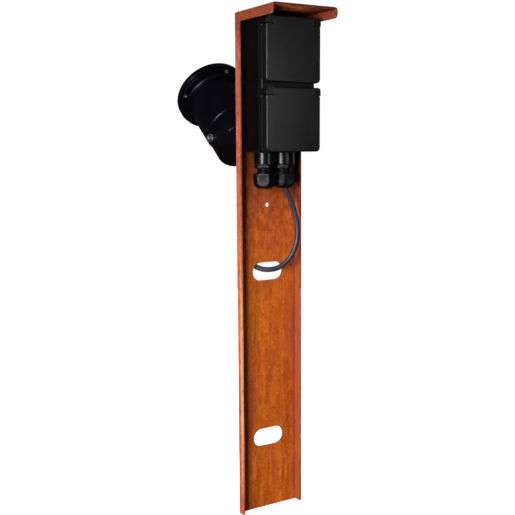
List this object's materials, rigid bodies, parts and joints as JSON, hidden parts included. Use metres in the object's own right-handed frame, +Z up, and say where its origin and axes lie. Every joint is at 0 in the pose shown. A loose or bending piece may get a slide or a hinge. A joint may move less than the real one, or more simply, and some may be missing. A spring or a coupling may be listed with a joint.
{
  "type": "garden socket post",
  "caption": "Folded weathering-steel garden post with a roof over a double socket box with hinged lids, cable glands and an adjustable spotlight on its outer face.",
  "frame": {"origin": "middle of the web's foot, at the post's lower end", "axes": "+Z up the post, -Y out of the channel towards the lids, +X across the web"},
  "size_m": [0.0944, 0.2533, 0.6],
  "materials": {
    "corten": "weathered matt rust",
    "box_black": "moulded satin",
    "lid_black": "moulded fine texture",
    "insert_black": "moulded satin",
    "gland_black": "moulded semi-gloss",
    "rubber": "matt",
    "cable_sheath": "satin",
    "wire_sheath": "satin",
    "zinc": "zinc plated",
    "stainless": "plain",
    "spring_steel": "plain",
    "brass": "plain",
    "ceramic": "fired",
    "spot_black": "black powder coat",
    "lens_glass": "clear",
    "lamp_white": "satin"
  },
  "bodies": {
    "post": {"post_channel": "corten", "socket_housing": "box_black", "housing_screws": "zinc", "frame_seal": "rubber", "front_frame": "box_black", "frame_screws": "zinc", "upper_hinge_pin": "zinc", "lower_hinge_pin": "zinc", "upper_lid_spring": "spring_steel", "lower_lid_spring": "spring_steel", "upper_insert": "insert_black", "lower_insert": "insert_black", "upper_carrier": "ceramic", "lower_carrier": "ceramic", "upper_contacts": "brass", "lower_contacts": "brass", "upper_earth_strap": "spring_steel", "lower_earth_strap": "spring_steel", "centre_screws": "zinc", "link_wires": "wire_sheath", "cable_cores": "wire_sheath", "left_gland_body": "gland_black", "right_gland_body": "gland_black", "gland_orings": "rubber", "left_gland_seal": "rubber", "right_gland_seal": "rubber", "left_gland_nut": "gland_black", "right_gland_nut": "gland_black", "cable_front": "cable_sheath", "cable_rear": "cable_sheath", "spot_yoke": "spot_black", "yoke_screws": "stainless"},
    "upper_lid_body": {"upper_lid": "lid_black", "upper_lid_seal": "rubber"},
    "lower_lid_body": {"lower_lid": "lid_black", "lower_lid_seal": "rubber"},
    "spot_head": {"spot_housing": "spot_black", "spot_rear_cap": "spot_black", "spot_bezel": "spot_black", "spot_glass": "lens_glass", "glass_gasket": "rubber", "bezel_screws": "stainless", "spot_lamp": "lamp_white", "lamp_holder": "ceramic", "spot_gland": "gland_black", "pivot_screws": "stainless", "pivot_washers": "stainless"}
  },
  "joints": [
    {"name": "upper_lid_hinge", "type": "hinge", "parent": "post", "child": "upper_lid_body", "pos_m": [0, -0.0553, 0.586], "axis": [-1, 0, 0], "range_deg": [0, 90], "stiffness_Nm_per_rad": 0.012, "springref_deg": -34.38},
    {"name": "lower_lid_hinge", "type": "hinge", "parent": "post", "child": "lower_lid_body", "pos_m": [0, -0.0553, 0.509], "axis": [-1, 0, 0], "range_deg": [0, 100], "stiffness_Nm_per_rad": 0.012, "springref_deg": -34.38},
    {"name": "spot_tilt", "type": "hinge", "parent": "post", "child": "spot_head", "pos_m": [0, 0.066, 0.4585], "axis": [1, 0, 0], "range_deg": [-60, 50], "deforming": ["cable_rear"]}
  ]
}
